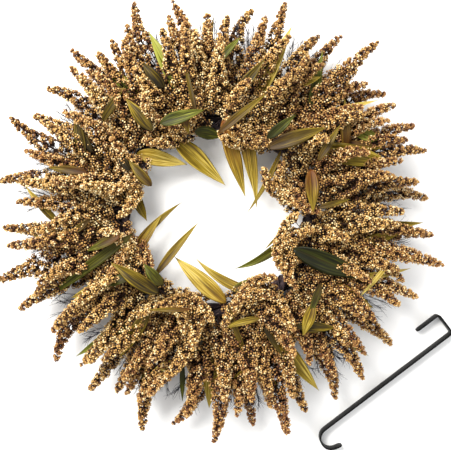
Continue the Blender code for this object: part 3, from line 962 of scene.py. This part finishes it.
OUTER_LEAVES = (
    (5, 172, 122, 15, 43, 8, -8, 0, 0.4, 0.1), (21, 160, 124, -88, 53, 21, 2, 0, 0.45, 0.6),
    (28, 215, 102, -11, 96, 33, -5, 0, 0.6, 0), (28, 244, 88, -8, 55, 13, 0, 0, 0.3, 0.4),
    (30, 193, 122, 59, 52, 12, 4, 0, 0.4, 0.1), (30, 239, 94, 92, 67, 15, 7, 0, 0.35, 0.3),
    (31, 267, 74, -26, 51, 20, 6, 0, 0.85, 0), (42, 248, 78, 15, 82, 10, 2, 0, 0.9, 0),
    (48, 151, 122, 19, 77, 23, 3, 0, 0.35, 0.1), (50, 243, 82, 79, 80, 15, 7, 0, 0.55, 0),
    (55, 155, 126, 39, 46, 15, 5, 0, 0.35, 0), (58, 249, 92, 3, 38, 15, 6, 20, 0.6, 0),
    (70, 227, 71, 64, 104, 23, 8, 0, 0.9, 0), (79, 203, 98, 51, 63, 17, 6, 0, 0.3, 0),
    (82, 142, 126, 39, 76, 13, 2, 0, 0.4, 0.2), (88, 253, 89, 47, 46, 12, 0, 0, 0.6, 0),
    (95, 216, 66, 107, 113, 17, 3, 0, 0.6, 0.1), (95, 235, 51, 80, 99, 15, 3, 0, 0.2, 0),
    (101, 181, 116, 103, 79, 7, -12, 0, 0.35, 0.1), (107, 231, 71, 118, 89, 23, 6, 0, 0.85, 0),
    (108, 161, 122, -72, 29, 12, -14, 0, 0.4, 0.8), (113, 231, 90, 131, 44, 20, 3, 0, 0.15, 0),
    (116, 163, 128, 17, 57, 20, 2, 0, 0.55, 0), (124, 233, 71, 134, 96, 21, 9, 0, 0.8, 0),
    (127, 179, 116, 129, 52, 20, 2, 0, 0.4, 0), (137, 236, 100, 56, 52, 13, 9, 0, 0.35, 0),
    (151, 161, 100, 123, 31, 13, 0, 0, 0.05, 0), (151, 231, 100, 117, 51, 10, 2, 0, 0.15, 0),
    (153, 121, 116, 132, 43, 17, -5, 0, 0.35, 0.1), (153, 238, 100, 98, 59, 17, 4, 0, 0.3, 0),
    (162, 231, 88, 173, 54, 13, -8, 0, 0.35, 0.3), (167, 214, 90, 169, 55, 17, -8, 0, 0.15, 0),
    (180, 268, 65, 132, 67, 13, 0, 0, 0.6, 0), (184, 212, 94, -143, 54, 10, -9, 0, 0.4, 0.1),
    (192, 242, 56, 164, 66, 15, 0, 0, 0.45, 0), (193, 166, 114, -155, 47, 15, -10, 0, 0.45, 0.5),
    (198, 174, 100, -144, 150, 17, -15, 0, 0.5, 0.1), (211, 216, 88, -156, 59, 13, -14, 0, 0.6, 0),
    (215, 166, 116, -159, 52, 15, -9, 0, 0.4, 0.1), (227, 152, 124, 147, 71, 23, 2, 0, 0.35, 0),
    (229, 135, 122, 130, 36, 20, 3, 0, 0.45, 0.1), (230, 233, 74, -147, 97, 17, -5, 0, 0.6, 0),
    (235, 202, 98, -122, 79, 20, -12, 0, 0.5, 0), (243, 260, 68, -93, 50, 7, -5, 0, 0.5, 0),
    (250, 155, 126, -179, 52, 7, -4, 0, 0.45, 0.4), (252, 252, 82, -148, 41, 13, -3, 0, 0.8, 0),
    (258, 257, 80, -91, 53, 8, -11, 0, 0.4, 0), (262, 204, 88, -136, 42, 17, -8, 0, 0.05, 0),
    (269, 231, 62, -95, 88, 30, -4, 0, 0.7, 0.1), (279, 167, 108, -76, 95, 8, -17, 15, 0.4, 0.1),
    (283, 254, 80, -147, 44, 15, -10, 0, 0.5, 0.3), (286, 252, 82, -51, 60, 15, -6, 0, 0.45, 0.3),
    (289, 171, 120, -175, 50, 10, -9, 25, 0.6, 0.1), (294, 205, 106, -57, 48, 8, -12, 0, 0.2, 0),
    (297, 235, 78, -51, 102, 25, -7, 0, 0.65, 0.2), (309, 224, 110, -4, 53, 17, -11, 0, 0.35, 0),
    (315, 211, 118, -107, 44, 18, -10, 0, 0.65, 0.2), (315, 259, 52, -35, 87, 13, -1, 0, 0.8, 0),
    (324, 198, 120, -109, 43, 12, -3, 0, 0.4, 0.2), (330, 237, 90, -32, 59, 17, -8, 0, 0.5, 0.3),
    (336, 253, 68, 11, 91, 12, -1, 0, 0.85, 0), (337, 162, 108, -22, 105, 33, -5, 0, 0.15, 0),
    (342, 280, 96, -130, 59, 7, -4, 0, 0.9, 0.1), (349, 245, 72, 21, 80, 20, -6, 0, 0.5, 0),
    (356, 259, 66, 5, 83, 15, 0, 0, 0.5, 0),
)


ROLLS = (-22, 22)  # degrees that a blade may be rolled about its midrib


def leaves_of(rows, number, seed, tuck, sink, droops):
    """The leaves of one bunch, joined, or None; foot = place - tuck x length x way, lowered by sink mm."""
    chance = np.random.default_rng(seed + number)
    made = []
    for bearing, reach, height, heading, length, width, rise, sweep, pale, rusty_foot in rows:
        if bunch_at(bearing) != number:
            continue
        climb, course = math.radians(rise + sum(droops) / 4), math.radians(heading)
        level = math.cos(climb)
        back = np.array([level * math.cos(course), level * math.sin(course), math.sin(climb)])
        foot = at(bearing, reach, height - sink) - back * tuck * length * MM
        made.append(leaf(
            foot, heading, length * (1 + tuck), width, rise, sweep,
            chance.uniform(*droops), chance.uniform(*ROLLS), chance, pale, rusty_foot,
        ))
    return joined(made) if made else None


print(len(INNER_LEAVES), "leaves reach inwards,", len(OUTER_LEAVES), "lie between the sprays")

# %% Leaves
# A bunch with no leaf in the opening has its leaf solid stood for by the outer leaves
for number in range(1, BUNCHES + 1):
    inside = leaves_of(INNER_LEAVES, number, 100, 0.06, 0, (6, 20))
    outside = leaves_of(OUTER_LEAVES, number, 200, 0.28, 3, (26, 44))
    body, nodes = f"bunch_{number}", (f"leaf_{number}",)
    if inside:
        add_piece(f"leaf_inner_{number}", inside, (leaf_film,), body, nodes)
    add_piece(f"leaf_outer_{number}", outside, (leaf_film,), body, () if inside else nodes)

# %% [markdown]
# ## Grass wisps
#
# Between the outer sprays stick out sprigs of fine grass, dyed a dark blue grey. A sprig is a thin
# stem with bristles that leave it at all sides and bend a little outwards. Particle hair
# has no faces of its own, so each bristle is a slim tube of three sides.

# %% Grass wisps
# Dyed dry grass: dull with a little light along it, dark and cool against the gold
wisp, tree, shader = new_material("blue-grey dyed grass", 0.55, 0.4)
tone = add_node(tree, "Attribute", {"attribute_name": "tone"}, "Fac")
wisp_tint = add_node(tree, "ValToRGB", Fac=tone)
set_stops(wisp_tint, [(0.0, "#1B1A22"), (0.6, "#34333F"), (1.0, "#5A5664")])
tree.links.new(wisp_tint, shader.inputs["Base Color"])
FAN = 7
BRISTLES = 18
SPRIG_BACK = 78  # mm from the wisps' reach back to the sprig's foot
CURL = 0.3


def sprig(bearing, reach, heading, height, chance):
    """
    A fan of thin shoots, foot + course x share x size; each bristle leaves one at a splay of 10 to 40
    degrees and curls off its first course by 0.3 x share squared.
    """
    base = at(bearing, reach - SPRIG_BACK, height)
    turn = np.radians(heading + np.linspace(-24, 24, FAN) + chance.normal(0, 4, FAN))
    climb = np.radians(chance.uniform(-6, 22, FAN))
    course = np.stack([np.cos(turn) * np.cos(climb), np.sin(turn) * np.cos(climb), np.sin(climb)], axis=1)
    size = chance.uniform(50, 76, FAN)[:, None, None] * MM
    share = np.linspace(0, 1, 5)[:, None]
    shoots = base + course[:, None] * share * size
    out = np.sort(chance.uniform(0.35, 1, (FAN, BRISTLES)), axis=1)[..., None]
    root = (base + course[:, None] * out * size).reshape(-1, 3)
    ahead = np.repeat(course, BRISTLES, axis=0)
    count = len(root)
    splay = unit(np.cross(ahead, chance.normal(0, 1, (count, 3))))
    spread = np.radians(chance.uniform(10, 40, count))[:, None]
    first = ahead * np.cos(spread) + splay * np.sin(spread)
    length = chance.uniform(10, 21, count)[:, None, None] * MM
    step = np.linspace(0, 1, 4)[:, None]
    curl = unit(np.cross(first, chance.normal(0, 1, (count, 3))))[:, None] * (step ** 2)[None] * CURL
    bristles = root[:, None] + (first[:, None] * step[None] + curl) * length
    shoot_radii = np.linspace(0.7, 0.4, 5)[None] * MM * np.ones((FAN, 1))
    bristle_radii = np.linspace(0.42, 0.16, 4)[None] * MM * np.ones((count, 1))
    return joined([
        tubes(shoots, shoot_radii, 4, tone=0.3),
        tubes(bristles, bristle_radii, 3, tone=np.repeat(chance.random(count), 12)),
    ])


# Bearing, reach, and the turn off the radial way
WISPS = [
    (8, 320, -4), (27, 318, -8), (34, 322, 10), (50, 330, 8), (63, 336, -4), (78, 340, 10),
    (91, 332, 0), (104, 328, -12), (111, 338, 6), (126, 318, 0), (147, 332, 6), (160, 336, 12),
    (174, 338, -4), (190, 330, -6), (202, 330, 4), (213, 322, -10), (228, 322, -6), (238, 320, 8),
    (250, 326, 0), (262, 330, -4), (275, 322, 8), (283, 334, 0), (297, 318, 6), (308, 338, 4),
    (315, 330, -6), (331, 326, 8), (345, 322, -4), (353, 330, 2),
]
for number in range(1, BUNCHES + 1):
    chance = np.random.default_rng(300 + number)
    made = [
        sprig(bearing, reach, bearing + turn, chance.uniform(18, 36), chance)
        for bearing, reach, turn in WISPS if bunch_at(bearing) == number
    ]
    add_piece(f"grass_wisps_{number}", joined(made), (wisp,), f"bunch_{number}")

# %% [markdown]
# ## The vine ring
#
# Three strands of vine wind round the ring's centre line, six turns in one trip round it. The
# strand's centre is the ring's line plus an offset that turns with the bearing. Its bark has long
# ridges and knots: the tube's radius changes round it and along it. Thinner shoots wind over the
# three and bind them, as on a real grapevine ring.

# %% Bark material
# Dry vine bark: dull, its fibres run along the strand and catch the light only on their ridges
bark, tree, shader = new_material("dark grapevine bark", 0.78, 0.3)
along = add_node(tree, "Attribute", {"attribute_name": "along"}, "Fac")
around = add_node(tree, "Attribute", {"attribute_name": "around"}, "Fac")
fibre_along = add_node(tree, "Math", TIMES, i0=along, i1=36.0)
fibre_around = add_node(tree, "Math", TIMES, i0=around, i1=3.2)
grid_place = add_node(tree, "CombineXYZ", X=fibre_along, Y=fibre_around, Z=0.0)
fibres = add_node(tree, "TexNoise", Vector=grid_place, Scale=2.2, Detail=4.0)
bark_tint = add_node(tree, "ValToRGB", Fac=fibres)
set_stops(bark_tint, [(0.3, "#17121A"), (0.47, "#2B2024"), (0.58, "#463638"), (0.72, "#8A7568")])
tree.links.new(bark_tint, shader.inputs["Base Color"])
furrows = add_node(tree, "Bump", Height=fibres, Strength=0.8, Distance=0.8 * MM)
tree.links.new(furrows, shader.inputs["Normal"])
print("bark material ready,", len(tree.nodes), "nodes")

# %% Strands and shoots
STRANDS = 3
STRAND_OFFSET = 8.025
STRAND_RADIUS = 6.0
STRAND_TURNS = 6
SHOOT_OFFSET = 13.2
# For each shoot: its turns, phase, radius, and how often it wanders in and out
SHOOTS = ((9, 0.4, 1.9, 4), (14, 2.1, 1.5, 3), (11, 3.9, 1.7, 5), (19, 5.2, 1.2, 7))


def on_ring(turned, outwards, upwards):
    """Points by the ring's line: middle + (radius + outwards) x (cos, sin of the turn), raised by upwards."""
    reach = ring_radius + outwards
    return np.stack([
        middle[0] + reach * np.cos(turned), middle[1] + reach * np.sin(turned), middle[2] + upwards
    ], axis=1)


def wound(offset, turns, phase, steps, wander=0.0, beat=3):
    """A closed path: the ring's line + offset x (cos w outwards, sin w up), w = turns x bearing + phase."""
    bearing = np.arange(steps) * math.tau / steps
    wind = turns * bearing + phase
    off = (offset + wander * np.sin(beat * bearing + phase)) * MM
    return on_ring(bearing, off * np.cos(wind), off * np.sin(wind))


def vine(path, radius, sides, seed, rough=0.06):
    """A closed tube with bark: radius x (1 + ridges round it that twist along it + slow knots)."""
    chance = np.random.default_rng(seed)
    steps = len(path)
    along = np.arange(steps) / steps
    around = np.arange(sides) / sides
    ridges = 0
    for k in (1, 2, 3):
        winding = math.tau * ((2 + k) * around[None] + chance.integers(3, 9) * along[:, None])
        ridges = ridges + rough / k * np.sin(winding + chance.uniform(0, 6))
    knots = 0.05 * sum(np.sin(math.tau * k * along + chance.uniform(0, 6)) for k in (7, 12, 19))[:, None]
    radii = radius * MM * (1 + ridges + knots - 0.07)
    made = tubes(path[None], radii[None], sides, closed=True)
    made.marks = {
        "along": np.repeat(np.abs(2 * along - 1), sides).astype(np.float32),
        "around": np.tile(np.abs(2 * around - 1), steps).astype(np.float32),
    }
    return made


for number in range(STRANDS):
    path = wound(STRAND_OFFSET, STRAND_TURNS, math.tau * number / STRANDS, 540)
    made, nodes = vine(path, STRAND_RADIUS, 16, 400 + number), (f"vine_strand_{number + 1}",)
    add_piece(f"vine_bark_{number + 1}", made, (bark,), "ring", nodes)
shoots = [
    vine(wound(SHOOT_OFFSET, turns, phase, 420, 0.9, beat), thick, 8, 410 + turns, 0.09)
    for turns, phase, thick, beat in SHOOTS
]
add_piece("vine_shoots", joined(shoots), (bark,), "ring")

# %% [markdown]
# ## The binding wire
#
# A turn of dark annealed wire holds each bunch. The imported solid is one plain loop; the real wire is
# wound on, so here it goes round the bundle three and a half times.

# %% Binding wire
# Annealed iron: its dark oxide leaves a soft metal gleam on each turn
wire, tree, shader = new_material("dark annealed iron wire", 0.42)
shader.inputs["Metallic"].default_value = 0.8
shader.inputs["Base Color"].default_value = linear("#2E2A27")
WIRE_RADIUS = 0.9
WIRE_REACH = 15.6
COIL_TURNS = 3.5
COIL_STEPS = 112
COIL_HALF = 0.016  # radians of the ring's turn to each side of the bunch's middle
wind = np.linspace(0, math.tau * COIL_TURNS, COIL_STEPS)
slide = np.linspace(-COIL_HALF, COIL_HALF, COIL_STEPS) + 0.0012 * np.sin(3 * wind)
for number in range(1, BUNCHES + 1):
    bearing = math.radians((number - 0.5) * 360 / BUNCHES)
    coil = on_ring(bearing + slide, WIRE_REACH * MM * np.cos(wind), WIRE_REACH * MM * np.sin(wind))
    made = tubes(coil[None], np.full((1, COIL_STEPS), WIRE_RADIUS * MM), 6)
    add_piece(f"wire_coil_{number}", made, (wire,), "ring", (f"binding_wire_{number}",))

# %% [markdown]
# ## The door hanger
#
# The hanger is one flat steel strap, bent square over the door's top and round at the hook, then
# powder coated satin black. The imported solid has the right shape, so a copy of it is merged and its
# edges are broken by half a millimetre, as the coating rounds them. The coat is a fine orange peel.

# %% Door hanger
# Powder coat, sprayed and baked: satin, with a fine orange peel that breaks up its reflections
coat, tree, shader = new_material("satin black powder coat", 0.5, 0.1)
PEEL_SIZE = 0.9  # mm between the bumps of the coat
place = add_node(tree, "TexCoord", result="Object")
peel = add_node(tree, "TexNoise", Vector=place, Scale=1 / (PEEL_SIZE * MM), Detail=2.0)
peel_tint = add_node(tree, "ValToRGB", Fac=peel)
set_stops(peel_tint, [(0.35, "#060606"), (0.65, "#0E0E0F")])
tree.links.new(peel_tint, shader.inputs["Base Color"])
bumps = add_node(tree, "Bump", Height=peel, Strength=0.5, Distance=0.08 * MM)
tree.links.new(bumps, shader.inputs["Normal"])

EDGE_ROUND = 0.5
strap_mesh = frame["nodes"]["door_hanger"].data.copy()
strap_mesh.name = "hanger_strap"
merged = bmesh.new()
merged.from_mesh(strap_mesh)
bmesh.ops.remove_doubles(merged, verts=merged.verts, dist=0.00001)
bmesh.ops.dissolve_limit(merged, angle_limit=math.radians(1), verts=merged.verts, edges=merged.edges)
bmesh.ops.recalc_face_normals(merged, faces=merged.faces)
merged.to_mesh(strap_mesh)
merged.free()
strap_mesh.materials.clear()
strap_mesh.materials.append(coat)
strap_mesh.shade_smooth()
strap = bpy.data.objects.new("hanger_strap", strap_mesh)
bpy.context.scene.collection.objects.link(strap)
soften = strap.modifiers.new("rolled edges", "BEVEL")
soften.width = EDGE_ROUND * MM
soften.segments = 2
soften.limit_method = "ANGLE"
soften.angle_limit = math.radians(40)
soften.harden_normals = True
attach(strap, "hanger")
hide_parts("door_hanger")
print("hanger", len(strap_mesh.polygons), "faces,", round(volume_of(strap_mesh) * 1e6, 1), "cm3")
